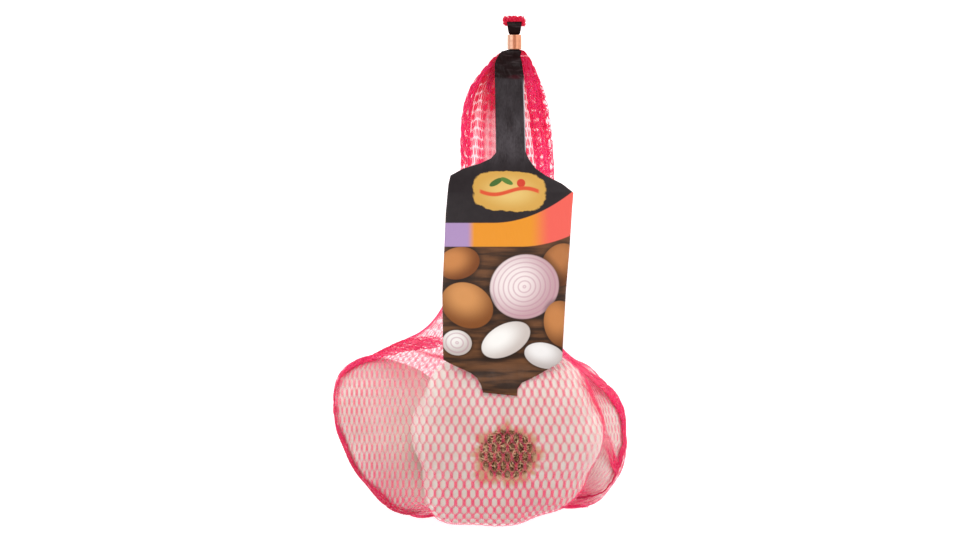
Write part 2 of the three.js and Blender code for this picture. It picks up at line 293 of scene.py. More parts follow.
def cloveShare(bulb, around):
    # The radius at an angle round the bulb, as a share of its largest: the cloves stand out as a cosine, and
    # the largest one as a soft bump to one side.
    swing = 0.5 - 0.5 * np.cos(garlic["cloves"] * around + np.radians(bulb["turn"]))
    angle, extra = bulb["largest"]
    aside = np.abs((around - np.radians(angle) + np.pi) % (2 * np.pi) - np.pi)
    bulge = extra * np.exp(-((aside / garlic["bumpWidth"]) ** 2))
    return 1 - garlic["relief"] * swing ** garlic["valley"] + bulge


def pushOutOfBulb(points, bulb, thick):
    # Points inside the bulb move straight out from its centre on to its surface, where
    # (height / H)^p + (distance from the axis / R)^p = 1.
    away = points - np.array(bulb["centre"])
    h, u, v = (away @ axis for axis in bulbAxes(bulb))
    radius = bulb["radius"] * cloveShare(bulb, np.arctan2(v, u)) + thick
    height = np.where(h > 0, bulb["rootHeight"], bulb["stemHeight"]) + thick
    power = np.where(h > 0, garlic["rootFlatness"], garlic["stemFlatness"])
    depth = ((np.abs(h) / height) ** power + (np.hypot(u, v) / radius) ** power) ** (1 / power)
    out = np.where(depth < 1, 1 / np.maximum(depth, 0.05), 1)
    return np.array(bulb["centre"]) + away * out[..., None]


def onAxes(bulb, h, x, y):  # places given by their height towards a bulb's root and their way to its sides
    root, side, other = bulbAxes(bulb)
    return np.array(bulb["centre"]) + h[..., None] * root + x[..., None] * side + y[..., None] * other


def addBulb(bulb, skin, dried):
    rng = np.random.default_rng(bulb["seed"])
    # lean runs from the root's pole to the stem's: height = H cos^(2/p), distance from the axis = R sin^(2/p)
    lean = np.linspace(0, np.pi, garlic["rings"])[:, None]
    around = np.linspace(0, 2 * np.pi, garlic["points"], endpoint=False)[None]
    onRoot = lean < np.pi / 2
    power = np.where(onRoot, garlic["rootFlatness"], garlic["stemFlatness"])
    height = np.where(onRoot, bulb["rootHeight"], bulb["stemHeight"])
    h = np.sign(np.cos(lean)) * height * np.abs(np.cos(lean)) ** (2 / power) + 0 * around
    rho = bulb["radius"] * cloveShare(bulb, around) * np.abs(np.sin(lean)) ** (2 / power)
    # the skin's wrinkles run from pole to pole, inwards only
    ripple = sum(
        np.sin(k * around + rng.uniform(0, 6.3) + 0.5 * np.sin(2.3 * lean + rng.uniform(0, 6.3))) * a
        for k, a in ((23, 0.35), (41, 0.3), (67, 0.2), (97, 0.15))
    )
    rho = np.maximum(rho - garlic["wrinkle"] * (0.5 + 0.5 * ripple) * np.sin(lean) ** 0.5, 0)
    recess = garlic["rootRecess"] * ease((bulb["rootDisc"] - rho) / 3.0)
    h = np.where(onRoot, h - recess, np.maximum(h, -bulb["stemHeight"] * 0.93))
    points = onAxes(bulb, h, rho * np.cos(around), rho * np.sin(around))
    points[..., 2] = np.maximum(points[..., 2], garlic["lowest"])
    quads = gridQuads(garlic["rings"], garlic["points"], True)
    piece = addMesh(bulb["name"], points, [quads], [skin], stack(around / (2 * np.pi), lean / np.pi))
    return piece, addRoots(bulb, rng, dried)


def addRoots(bulb, rng, dried):
    # Dried roots, cut short: each starts on the root disc, rises and curls over, and stays under the net.
    count, steps = bulb["roots"], 8
    t = np.linspace(0, 1, steps)[None]
    rho = bulb["rootDisc"] * 0.93 * np.sqrt(rng.uniform(0, 1, count))
    start = rng.uniform(0, 2 * np.pi, count)
    heading = start + rng.normal(0, 1.1, count)
    reach = rng.uniform(1.2, 4.2, count)
    curl = rng.normal(0, 1.6, count)
    rise = rng.uniform(1.2, garlic["rootRecess"] + 0.5, count)
    turnBy = heading[:, None] + curl[:, None] * t
    step = reach[:, None] / (steps - 1)
    x = (rho * np.cos(start))[:, None] + np.cumsum(np.cos(turnBy) * step, axis=1)
    y = (rho * np.sin(start))[:, None] + np.cumsum(np.sin(turnBy) * step, axis=1)
    edge = np.maximum(np.hypot(x, y) / (bulb["rootDisc"] * 0.98), 1)
    x, y = x / edge, y / edge
    lift = np.sin(np.pi * np.minimum(t * rng.uniform(0.55, 1.0, count)[:, None], 1)) * rise[:, None]
    h = bulb["rootHeight"] - garlic["rootRecess"] - 0.2 + lift
    h = np.minimum(h, bulb["rootHeight"] + 0.15 - 0.6 * (np.hypot(x, y) / bulb["rootDisc"]) ** 4)
    thick = rng.uniform(0.22, 0.42, count)[:, None] * (1 - 0.45 * t)
    root, side, _ = bulbAxes(bulb)
    normals = np.broadcast_to(root + 0.3 * side, (count, steps, 3))
    tone = rng.uniform(0, 1, count)[:, None]
    return addTubes(bulb["name"] + "_roots", dried, 5, onAxes(bulb, h, x, y), normals, thick, thick, tone, t)


def garlicLook(own, place):
    # veins and broad bands run from pole to pole: noise stretched along the bulb's own second coordinate
    veins = own.mapped(Scale=(150.0, 3.0, 1.0)).noise(1.0, 3.0, Roughness=0.6)
    bands = own.mapped(Scale=(26.0, 2.0, 1.0)).noise(1.0, 2.0)
    stain = place.through(mottle, Coarse=45.0, Fine=420.0, Share=0.35)
    pole = own.parts()[1]
    base = bands.soft(0.35, 0.7).between((226, 218, 207), (234, 228, 218))
    base = (veins.soft(0.55, 0.75) * 0.35).between(base, (208, 190, 174))
    base = (stain * 0.25).between(base, (220, 204, 188))
    halo = pole + (bands - 0.5) * 0.09  # a brown ring round the roots
    base = (halo.soft(0.09, 0.062) * 0.8).between(base, (206, 150, 100))
    base = (pole.soft(0.86, 0.97) * 0.6).between(base, (196, 168, 130))
    return {
        "Base Color": base, "Roughness": stain.spread(0.42, 0.62),
        "Subsurface Weight": 0.25, "Subsurface Radius": (1.0, 0.8, 0.65), "Subsurface Scale": 0.003,
        "Normal": bump(stain, 0.3, 0.0002, Normal=bump(veins, 0.5, 0.0003)),
    }


def rootLook(own, place):
    tone, alongRoot = own.parts()[:2]
    stain = place.through(mottle, Coarse=260.0, Fine=1500.0, Share=0.4)
    base = tone.soft(0.35, 0.75).between((222, 186, 146), (160, 116, 78))
    base = (tone.soft(0.78, 0.98) * 0.85).between(base, (96, 62, 40))
    base = (stain * 0.4).between(base, (136, 94, 62))
    base = (alongRoot.soft(0.8, 1.0) * 0.4).between(base, (226, 204, 168))
    return {"Base Color": base, "Roughness": 0.8, "Normal": bump(stain, 0.5, 0.0002)}


skin, dried = newMaterial("garlicSkin", garlicLook), newMaterial("driedRoot", rootLook)
bulbPieces, rootPieces = zip(*(addBulb(bulb, skin, dried) for bulb in bulbs))
print("garlic made")

# the labels' lines, which the net's neck follows too; each strip lies in the clip
gap = 0.3  # between pieces that touch
backStrip = {"low": clip["wall"] + gap, "thick": 0.4}
netStrip = {"low": backStrip["low"] + backStrip["thick"] + gap, "thick": 1.0}
frontStrip = {"low": netStrip["low"] + netStrip["thick"] + gap}
stripHalfWidth = clip["width"] / 2 - clip["wall"] - gap
label = {
    "thick": 0.6,  # of the room that the net leaves for it
    "film": 0.16,
    "bowHalfWidth": 22.0, "bowPower": 2.5,
    "crease": 67.2,  # Y above which the film is gathered into the clip
    "tabSlant": 0.1,
    "tab": (-43.4, 93.0), "tabPull": (-34.0, 93.8), "shoulder": (-25.0, 86.4),  # Y and Z along its line
    "neckPulls": ((0.0, 66.0), (36.0, 16.0)),
    "columns": 56, "rows": 300,
    # how far the body's long edges bend down and it lies aside, the film's upper face over its line, and the
    # end, half width and rise of the flare past the clip
    "front": {"bow": 3.6, "aside": 0.0, "over": 0.35, "top": 87.2, "halfWidth": 2.65, "rise": 1.4},
    "back": {"bow": 0.0, "aside": -4.6, "over": 0.3, "top": 86.0, "halfWidth": 2.2, "rise": -0.2},
}
# outline from the tab to the clip: along Y, left edge X, right edge X
labelStations = np.array([
    (-43.4, 1, 12.9), (-41, 0.4, 13), (-38.6, -1, 14.6), (-37, -2.8, 18), (-35, -6.2, 22.4),
    (-33, -9.8, 27), (-31.4, -12.8, 28.6), (-8, -13.2, 30), (8, -12.5, 31.4), (20, -12, 32.2),
    (27, -11.4, 32.8), (30, -11.1, 29), (33, -10.4, 23), (35.4, -6, 19.6), (37.2, 0, 18.2), (39, 3.8, 17),
    (41, 5.6, 16.2), (68, 5.2, 15.4), (72.6, 5.2, 14.8), (75, 6.2, 14.2), (76.8, 7.6, 14.6),
])


def bezier(t, *points):  # a curve through its first and last points, pulled towards those between
    points = [np.array(p) for p in points]
    while len(points) > 1:
        points = [mix(a, b, t) for a, b in zip(points, points[1:])]
    return points[0]


clipEnd = (clip["low"] - 0.7, frontStrip["low"])
labelLine = np.concatenate([
    bezier(np.linspace(0, 1, 60)[:-1, None], label["tab"], label["tabPull"], label["shoulder"]),
    bezier(np.linspace(0, 1, 240)[:, None], label["shoulder"], *label["neckPulls"], clipEnd),
])


def backHeight(y):  # the back label lies on the floor and rises to the clip
    return backStrip["low"] * ramp(y, 66, 75)


def edges(stations, y):  # the left and right edge's X at each Y
    return (np.interp(y, stations[:, 0], stations[:, k]) for k in (1, 2))


net = {
    "coarseColumns": 64, "pillars": 112,
    "bagRows": 42, "neckRows": 20,  # of the grid that is drawn tight
    "finer": 3,  # rows of the fine grid to one of the coarse grid
    "coarseSteps": 900, "evenEvery": 10, "fineSteps": 120,
    "thick": 0.6,  # from the garlic to the outside of the net
    "weld": (3, -83, 28), "weldHalf": (35, 0, 1.2),
    "slackHalf": (58, 40, 50), "slackCentre": (0, -56, 44),
    "pull": 0.2,  # of the rows above and below, the rest being that of the points beside
    "lift": 0.5, "dip": 12.0, "rise": 7.0,  # over the back label, and at the waist under the front one
    "pleats": 10, "pleatDepth": 1.6,
    "foldFrom": (-42.5, -37.4, 30), "foldTo": (-21.5, -27, 32), "foldRadius": 4.5,
    "seed": 11,
}
knit = {
    "columns": 448,  # of the grid that the strands follow
    "widePitch": 3.15, "narrowPitch": 2.1,  # of the pillars on the front bulb and on the left one
    "narrowFrom": -20.0, "narrowTo": -32.0,  # X between which one pitch goes over into the other
    "flankShare": (0.36, 0.75),  # of a drop that counts in spacing the pillars, to the left and right of
    "pivot": 12.0,  # this X
    "leftPile": 2.4,  # width in which pillars crowd at the bag's left edge
    "courseHeight": 3.2,
    "flatFrom": -82.0, "flatTo": -33.0, "flatSoft": 3.0,  # Y between which the courses lie evenly
    "middle": -57.0,  # Y that parts the courses towards the weld from those towards the neck
    "weldCourses": 14, "shoulderCourses": 11, "neckCourses": 27,
    "pillarLength": 0.567,  # of a course's height, the rest being the slanted strands
    "pillarWidth": 0.3, "slantWidth": 0.33, "height": 0.17, "sink": 0.26,
    "neckPleats": 23, "neckPleatDepth": 1.3, "neckWander": 2.2, "neckSlip": 0.8, "neckThin": 0.5,
}
flatCourses = (knit["flatTo"] - knit["flatFrom"]) / knit["courseHeight"]
bagCourses = round(flatCourses + knit["weldCourses"] + knit["shoulderCourses"])
courses = bagCourses + knit["neckCourses"]
veil = {"centre": (42.5, -70), "half": (6.5, 14.0), "thin": 0.5, "broad": 0.9}
# the neck from the waist to the clip: along Y, left edge X, right edge X
neckStations = np.array([
    (-10.7, -12, 22), (24.3, -7.6, 26), (36.9, -6.9, 26), (42.5, -6.8, 25.4), (48.1, -6.7, 24.8),
    (53.7, -6.4, 24), (56.5, -6, 23.5), (59.3, -5.3, 23), (62.1, -4.4, 22.3), (64.9, -3.1, 21.5),
    (67.7, -1.1, 20.6), (70.5, 1.2, 19.4), (73.3, 3.7, 18.1), (75.4, 5.6, 16.9), (76.8, 8.2, 15.6),
])
frill = {"top": 89.4, "halfWidth": 3.9, "high": 4.0}


def intoNeck(y):  # 0 at the waist and 1 from 30 mm above it
    return ease((y - neckStations[0, 0]) / 30)


def underside(y):  # the lowest that the net lies: on the floor, and on the back label from its end on
    onLabel = ease((y - label["tab"][0] + 5) / 4)
    return onLabel * (backStrip["thick"] + gap + net["lift"] * ramp(y, 70, 64) + backHeight(y))


def neckPoints(y, angle):
    # An oval between the labels, with pleats that deepen towards the clip.
    left, right = edges(neckStations, y)
    bridge = ramp(y, 20, -10)
    low = underside(y) + net["rise"] * bridge
    high = np.interp(y, *labelLine.T) - gap - label["thick"] - net["dip"] * bridge
    high = np.maximum(high, low + netStrip["thick"])
    wave = 0.5 - 0.5 * np.cos(net["pleats"] * angle)
    inwards = net["pleatDepth"] * ramp(y, -5, 35) * ramp(y, 76, 68) * wave
    halfWidth = (right - left) / 2 - inwards
    halfHeight = (high - low) / 2 - np.minimum(inwards, (high - low) / 5)
    x = (left + right) / 2 + halfWidth * np.cos(angle)
    return stack(x, y, (low + high) / 2 + halfHeight * np.sin(angle))


def keepOut(points):  # moves points out of the fold's core, out of the garlic and off the floor
    start, end = np.array(net["foldFrom"]), np.array(net["foldTo"])
    share = np.clip((points - start) @ (end - start) / np.sum((end - start) ** 2), 0, 1)
    middle = start + share[..., None] * (end - start)
    away = points - middle
    inside = np.linalg.norm(away, axis=-1, keepdims=True) < net["foldRadius"]
    points = np.where(inside, middle + unit(away) * net["foldRadius"], points)
    for bulb in bulbs:
        points = pushOutOfBulb(points, bulb, net["thick"])
    points[..., 2] = np.maximum(points[..., 2], underside(points[..., 1]))
    return points


def measure(line, drop=1.0):  # the length run along each column of points, with a drop counted for that share
    return running(np.linalg.norm(np.diff(line, axis=0) * np.array([1, 1, drop]), axis=-1))


def atLengths(goal, run, line):  # the points of a line at some lengths along it
    return stack(*(np.interp(goal, run, line[:, k]) for k in range(3)))


def spacedInside(line):  # a line's points but the first and last, spaced evenly along it
    run = measure(line)
    return atLengths(np.linspace(0, run[-1], len(line))[1:-1], run, line)


def evenOut(points, rows, last):
    # Spaces the points of some rows evenly between the row's top and bottom, and those of each column evenly
    # from the weld to the start of the neck.
    columns = points.shape[1]
    for start in (columns // 4, columns // 4 + columns // 2):
        order = (start + np.arange(columns // 2 + 1)) % columns
        for j in rows:
            points[j, order[1:-1]] = spacedInside(points[j, order])
    for i in range(columns):
        points[1:last, i] = spacedInside(points[: last + 1, i])


def drawTight(points, home, hold, steps, evenEvery):
    # Each point moves to the middle of its four neighbours, then out of what it lies on. Odd rows move first.
    last = len(points) - 1
    bagLast = last * net["bagRows"] // (net["bagRows"] + net["neckRows"])
    for step in range(1, steps + 1):
        if evenEvery and step % evenEvery == 0:
            evenOut(points, np.flatnonzero(hold[:, 0] == 0), bagLast)
        for first in (1, 2):
            rows = np.arange(first, last, 2)
            rows = rows[hold[rows, 0] < 1]
            beside = np.roll(points[rows], 1, axis=1) + np.roll(points[rows], -1, axis=1)
            goal = net["pull"] * (points[rows - 1] + points[rows + 1]) + (0.5 - net["pull"]) * beside
            points[rows] = keepOut(mix(goal, home[rows], hold[rows][..., None]))
    return points


def sampleGrid(grid, v, u):  # values of a grid at fractional rows v and columns u, the columns going round
    rows, columns = grid.shape[:2]
    j = np.clip(np.floor(v).astype(int), 0, rows - 2)
    i = np.floor(u).astype(int)
    tv, tu = (v - j)[..., None], (u - i)[..., None]
    i, iNext = i % columns, (i + 1) % columns
    return mix(mix(grid[j, i], grid[j, iNext], tu), mix(grid[j + 1, i], grid[j + 1, iNext], tu), tv)


def startForm(rows, columns):
    # Where the sleeve's points start, slack round the garlic, where its weld and neck belong, and how firmly
    # each row is held there.
    last = net["bagRows"] + net["neckRows"]
    v = np.linspace(0, last, rows)[:, None]
    angle = (2 * np.pi * np.arange(columns) / columns)[None]
    tilt = np.pi * (v + 0.5) / (net["bagRows"] + 1)
    direction = stack(np.sin(tilt) * np.cos(angle), -np.cos(tilt), np.sin(tilt) * np.sin(angle))
    slack = direction * np.array(net["slackHalf"]) + np.array(net["slackCentre"])
    weld = np.array(net["weld"]) + stack(np.cos(angle), 0, np.sin(angle)) * np.array(net["weldHalf"])
    neckY = neckStations[0, 0] + (v - net["bagRows"]) / net["neckRows"] * np.ptp(neckStations[:, 0])
    home = np.where((v >= net["bagRows"])[..., None], neckPoints(neckY, angle), slack)
    home = np.where((v == 0)[..., None], weld, home)
    return home, np.where(v == 0, 1.0, intoNeck(neckY))


def netGrid():
    # The sleeve starts slack round the garlic and is drawn tight, first coarse and then fine.
    last, columns = net["bagRows"] + net["neckRows"], 2 * net["pillars"]
    home, hold = startForm(last + 1, net["coarseColumns"])
    grid = drawTight(home.copy(), home, hold, net["coarseSteps"], net["evenEvery"])
    print("net drawn coarse")
    rows = last * net["finer"] + 1
    home, hold = startForm(rows, columns)
    u = np.arange(columns) * net["coarseColumns"] / columns
    grid = sampleGrid(grid, np.linspace(0, last, rows)[:, None], u[None])
    grid = drawTight(np.where((hold == 1)[..., None], home, grid), home, hold, net["fineSteps"], 0)
    print("net drawn fine")
    return grid


def smoothNoise(rng, shape, reach):  # -1 to 1, blurred over reach[0] rows and reach[1] columns, going round
    field = rng.normal(size=shape)
    for axis, length in enumerate(reach):
        k = np.minimum(np.arange(shape[axis]), shape[axis] - np.arange(shape[axis]))
        kernel = np.expand_dims(np.exp(-((k / length) ** 2)), 1 - axis)
        field = np.fft.ifft(np.fft.fft(field, axis=axis) * np.fft.fft(kernel, axis=axis), axis=axis).real
    return field / np.abs(field).max()


def halves(ring):  # a ring's front and back half, between its rightmost and its leftmost point
    right, left = np.argmax(ring[:, 0]), np.argmin(ring[:, 0])
    count = len(ring)
    return (ring[(a + np.arange((b - a) % count + 1)) % count] for a, b in ((right, left), (left, right)))


def pillarCount(arc, drop):  # how many pillars fit along an arc over the front, from its first point on
    narrow = ease((arc[:, 0] - knit["narrowFrom"]) / (knit["narrowTo"] - knit["narrowFrom"]))
    pitch = mix(knit["widePitch"], knit["narrowPitch"], (narrow[1:] + narrow[:-1]) / 2)
    return running(np.diff(measure(arc, drop)) / pitch)


def frontCounts(ring):
    # A ring's front half, the length run along it, its X made to fall all the way, and the pillars that fit
    # on it: right of the pivot, up to the pivot, and left of it counted from there.
    front, _ = halves(ring)
    run = measure(front)
    down = np.minimum.accumulate(front[:, 0]) - 1e-6 * np.arange(len(front))
    atPivot = np.interp(-knit["pivot"], -down, run)
    left, right = (pillarCount(front, drop) for drop in knit["flankShare"])
    return front, run, down, right, np.interp(atPivot, run, right), left - np.interp(atPivot, run, left)


def straighten(grid):
    # The pillars of the front's left run straight down the bag. At its widest ring they are spaced by pitch;
    # in the others each keeps its X, and near the edge the distance to it is m exp(t / m) instead of m + t,
    # so that pillars which the ring has no room for crowd there. Those of the right fan out from the pivot,
    # and the back half is spaced evenly.
    half, pile = knit["columns"] // 2, knit["leftPile"]
    share = np.linspace(0, 1, half + 1)
    front, run, down, right, toPivot, left = frontCounts(grid[np.argmax(np.ptp(grid[..., 0], axis=1))])
    print("pillars over the front by pitch:", round(toPivot + left[-1], 1))
    pivotShare = toPivot / (toPivot + left[-1])
    onLeft = share >= pivotShare
    target = np.interp((share[onLeft] - pivotShare) / (1 - pivotShare) * left[-1], left, front[:, 0])
    result = np.empty((len(grid), knit["columns"], 3))
    for j, ring in enumerate(grid):
        front, run, down, right, toPivot, _ = frontCounts(ring)
        edge = target - front[-1, 0] - pile
        x = np.where(edge < 0, front[-1, 0] + pile * np.exp(np.minimum(edge, 0) / pile), target)
        fanned = np.interp(share[~onLeft] / pivotShare * toPivot, right, run)
        goal = np.concatenate([fanned, np.interp(-x, -down, run)])
        goal = mix(goal, share * run[-1], intoNeck(ring[:, 1].mean()))
        goal[0], goal[-1] = 0, run[-1]
        result[j, : half + 1] = atLengths(goal, run, front)
        _, back = halves(ring)
        run = measure(back)
        result[j, half:] = atLengths(share[:-1] * run[-1], run, back)
    return result


def courseRows(grid, v, rng):
    # The row of the grid, for each place v along the knitting and each column. On the flat of the bag courses
    # lie a fixed height apart along Y; as many lie below it in every column, and as many above.
    bagLast = net["bagRows"] * net["finer"]
    line = grid[: bagLast + 1]
    y = line[..., 1]
    soft = knit["flatSoft"]
    flat = ease((y - knit["flatFrom"] + soft) / (2 * soft)) * ease((knit["flatTo"] + soft - y) / (2 * soft))
    onFlat = (flat[1:] + flat[:-1]) / 2
    rest = (1 - onFlat) * np.linalg.norm(np.diff(line, axis=0), axis=-1)
    count = onFlat * np.diff(y, axis=0) / knit["courseHeight"]
    below = y[1:] < knit["middle"]
    for number, part in ((knit["weldCourses"], below * rest), (knit["shoulderCourses"], ~below * rest)):
        count = count + number * part / part.sum(axis=0)
    count = running(np.maximum(count, 1e-4))
    count = count * bagCourses / count[-1]
    inBag = stack(*(np.interp(v, column, np.arange(bagLast + 1)) for column in count.T))
    inNeck = bagLast + (v - bagCourses)[:, None] / knit["neckCourses"] * (len(grid) - 1 - bagLast)
    rows = np.where(v[:, None] > bagCourses, inNeck, inBag)
    # in the neck the wales slip past each other
    perCourse = (len(grid) - 1 - bagLast) / knit["neckCourses"]
    slip = smoothNoise(rng, rows.shape, (26, 9)) * knit["neckSlip"] * perCourse
    inside = ease((v - bagCourses) / 5) * ease((courses - v) / 3)
    return np.clip(rows + slip * inside[:, None], 0, len(grid) - 1.001)


def roundSleeve(grid):  # the way from each point's neighbour on one side to that on the other
    return np.roll(grid, -1, axis=1) - np.roll(grid, 1, axis=1)


def pleat(grid, normals, rng):
    # The neck's slack goes into narrow pleats that wander a little: each point moves inwards by
    # depth * (1 - 2 cos(phase)) / 4 and round the neck by 0.4 depth * sin(phase), so that the crests are
    # dense.
    rows, columns = grid.shape[:2]
    angle = 2 * np.pi * np.arange(columns)[None] / columns
    phase = knit["neckPleats"] * angle + smoothNoise(rng, (rows, columns), (25, 9)) * knit["neckWander"]
    share = ramp(grid[..., 1], -14, 6) * ramp(grid[..., 1], 78, 48)
    depth = knit["neckPleatDepth"] * (0.7 + 0.5 * smoothNoise(rng, (rows, columns), (20, 12)))
    moved = -normals * (depth * (0.25 - 0.5 * np.cos(phase)))[..., None]
    moved = moved + unit(roundSleeve(grid)) * (0.4 * depth * np.sin(phase))[..., None]
    return grid + moved * share[..., None]


def netLook(own, place):
    # own.x is 1 in a pillar and 0 in a slant; own.y runs up the net, and from 2 to 3 in the gathered folds
    pillar, alongNet = own.parts()[:2]
    across = place.parts()[0]
    stain = place.through(mottle, Coarse=60.0, Fine=700.0, Share=0.4)
    single = stain.between((252, 70, 130), (248, 54, 112))
    dense = stain.between((252, 48, 116), (244, 30, 90))
    red = stain.between((232, 32, 74), (214, 22, 56))
    crowded = alongNet.soft(0.68, 0.85)
    base = crowded.between(single, dense)
    base = (alongNet.soft(0.84, 0.96) * alongNet.soft(1.5, 1.1)).between(base, red)
    # deeper crimson along the folds: the colour of net lying in many layers, and painted shade where they run
    # along the bag's lower edges
    base = alongNet.soft(2.0, 3.0).between(base, (182, 14, 50))
    # the strands glow a little, painted light that lifts their shaded sides, and over the root end that
    # painted glow takes on the brown that the roots would throw on them
    front = bulbs[0]
    disc = inFrame(np.array(front["centre"]) + front["rootHeight"] * bulbAxes(front)[0])
    far = put(place.tree, "VectorMath", {0: place, 1: disc}, "Value", operation="DISTANCE")
    overRoots = far.soft(front["rootDisc"] * 0.00112, front["rootDisc"] * 0.00092)
    paintedGlow = (overRoots * 0.8).between(base, (214, 92, 92))
    # a strand is seen through twice, at its near and its far side
    alpha = pillar.spread(0.19, 0.33) + crowded * (pillar * 0.3)
    alpha = alpha + alongNet.soft(0.29, 0.2) * 0.16 + alongNet.soft(1.5, 2.0) * 0.1
    # it is stretched thin over the front bulb and over the roots, spread thin over the back label beside the
    # front one's neck, and lies loose low on the right, as a soft veil of broad thin strands
    stretched = across.soft(inFrame([-31])[0], inFrame([-19])[0]) * alongNet.soft(0.72, 0.62)
    spread = place.oval(inFrame([3.6, 46]), (0.0033, 0.0135))[0].soft(1.2, 0.4)
    veilAt = place.oval(inFrame(veil["centre"]), np.array(veil["half"]) / 1000)[0]
    veiled = veilAt.soft(1.2, 0.7) * alongNet.soft(1.9, 1.5)
    for part, less in ((stretched, 0.18), (overRoots, 0.25), (spread, 0.72), (veiled, veil["thin"])):
        alpha = alpha * (1.0 - part * less)
    return {
        "Base Color": base, "Emission Color": paintedGlow, "Emission Strength": 0.15, "Alpha": alpha,
        "Roughness": 0.45, "Specular IOR Level": 0.3,
        "Subsurface Weight": 0.4, "Subsurface Radius": (1.0, 0.3, 0.5), "Subsurface Scale": 0.0008,
    }


def cutEnd(count, rng):
    # The strands' way from the neck's last row through the clip to the frill: middle, half width and half
    # height at stations along Y, with loose ends of several lengths that curl aside.
    y, wide, high = np.array([
        (clip["low"], stripHalfWidth, 0.5), (clip["high"], stripHalfWidth, 0.5),
        (clip["high"] + 1.8, 1.6, 0.5), (85.8, 2.2, 0.5), (86.8, 3.3, 0.9), (87.8, 3.7, 1.2),
        (88.7, 3.1, 1.0),
    ]).T
    angle = (2 * np.pi * np.arange(count) / count)[:, None]
    loose = ease((y - 85.5) / 2.5)
    reach = 1 + loose * rng.uniform(-0.75, 0.12, (count, 1))
    each = (count, len(y))
    x = clip["x"] + wide * np.cos(angle) * reach + loose * rng.normal(0, 0.35, each)
    z = netStrip["low"] + 0.5 + high * np.sin(angle) * reach + loose * rng.normal(0.3, 0.3, each)
    y = y + loose * rng.uniform(-1.6, 0.6, (count, 1)) + loose * rng.normal(0, 0.3, each)
    x = np.clip(x, clip["x"] - frill["halfWidth"], clip["x"] + frill["halfWidth"])
    return stack(x, np.minimum(y, frill["top"] - 0.1), np.clip(z, 0.4, frill["high"]))


def frontPlaces(grid, x, y):  # row and column of the front's grid point nearest to each X and Y
    front = grid[::2, : grid.shape[1] // 2 + 1 : 2]
    points = front.reshape(-1, 3)[:, :2]
    best = [np.argmin(((points - spot) ** 2).sum(axis=1)) for spot in stack(x, y).reshape(-1, 2)]
    return (2.0 * places.reshape(x.shape) for places in np.unravel_index(best, front.shape[:2]))


# folds in which spare net lies gathered: number of strands, length of their waves, and X, Y, width and depth
# of colour along each; that depth deepens the crimson where the net lies in many layers and paints shade at
# the bag's lower edges
folds = {
    "left shoulder and edge": (30, 6.3, (
        (-8, -24.8, 4.4, 0.1), (-11.9, -25, 4.2, 0.1), (-16.8, -25.4, 4, 0.1), (-21.7, -25.9, 3.8, 0.1),
        (-26.3, -26.8, 3.6, 0), (-30.8, -28.2, 3.8, 0), (-35, -29.6, 3.3, 0), (-39.2, -31, 2.3, 0.1),
        (-43, -32.7, 1.6, 0.2), (-47.2, -35.5, 1.1, 0.2), (-50, -38.8, 1, 0.2), (-51.8, -42.2, 0.9, 0.2),
        (-52.2, -46.4, 0.9, 0.2), (-51.1, -51.3, 0.9, 0.3), (-49, -56.9, 1, 0.3), (-47.3, -61.4, 1.4, 0.3),
        (-44.8, -66, 1.6, 0.4), (-42, -70.5, 1.7, 0.4), (-38.9, -75.4, 1.8, 0.4), (-32.2, -80.3, 3.2, 0.4),
        (-28, -83.1, 3.4, 0.5), (-21, -84.5, 3.6, 0.6), (-18, -84.6, 3.2, 1))),
    "right shoulder and edge": (30, 6.3, (
        (27.6, -28.9, 4.4, 0.1), (31.8, -31.7, 5.0, 0.1), (36, -34.7, 5.0, 0.1), (40, -37.6, 4.6, 0.1),
        (43.3, -40.6, 3.8, 0.1), (46.5, -44.4, 2.8, 0.1), (48.8, -48.6, 1.8, 0.1), (50.6, -53, 1.6, 0.2),
        (51, -58, 1.4, 0.2), (50, -63, 1.2, 0.3), (48.4, -68, 1.1, 0.3), (47.2, -73, 1.0, 0.4),
        (45.5, -77.5, 1.1, 0.4), (41.5, -80.4, 1.4, 0.5), (37, -82, 2.6, 0.8), (32, -82.6, 3.0, 1.0),
        (29.5, -82.8, 2.6, 1.0))),
    "right of the front bulb": (18, 16.0, (
        (33, -36, 5, -0.45), (37, -42, 5, -0.45), (40.5, -49, 4.8, -0.45), (43.2, -56, 4.2, -0.4),
        (45.6, -63, 3.4, -0.3), (47.3, -69.5, 2, 0), (47.8, -73, 1, 0.2))),
    "below the right bulb": (24, 6.3, (
        (41, -80.2, 1, 0.6), (38, -81.4, 2, 1), (35, -82, 2.6, 1), (32, -82.4, 2.6, 1),
        (29.5, -82.8, 2, 0.9))),
    "right of the neck": (22, 6.3, (
        (13.8, 75.5, 2, 0.5), (16.4, 72, 3.4, 0.35), (18.2, 67, 4.6, 0.2), (19.6, 62, 5.6, 0.1),
        (20.6, 57, 6.6, 0.1), (21.4, 50, 7, 0), (22, 42, 6.6, 0), (22.6, 34, 5.6, 0), (23.4, 26, 4.5, 0))),
    "left of the neck": (13, 6.3, (
        (5, 74, 1.6, 0.5), (1.6, 69.6, 1.5, 0.3), (-2.2, 63.8, 1.8, 0.25), (-4.3, 58, 2.3, 0.2),
        (-5.2, 50, 2.6, 0.15), (-5.4, 42, 2.6, 0.15), (-5, 34, 2.8, 0.15))),
    "beside the label's neck": (7, 6.3, (
        (7.2, 75.6, 1.2, 0.9), (5, 71, 2, 0.9), (3.6, 66.4, 2.2, 0.7), (3.2, 62, 1.4, 0.5))),
}
ribbon = {
    "steps": 140, "lanes": 9, "smoothing": 30,
    "sway": 0.11, "ripple": 0.06,  # of a strand across the ribbon, as shares of its width
    "low": 0.05, "thick": 0.3, "half": 0.3,  # over the net, of the ribbon, and half a strand's width
    "end": 0.05,  # share of the length in which a strand thins out
}


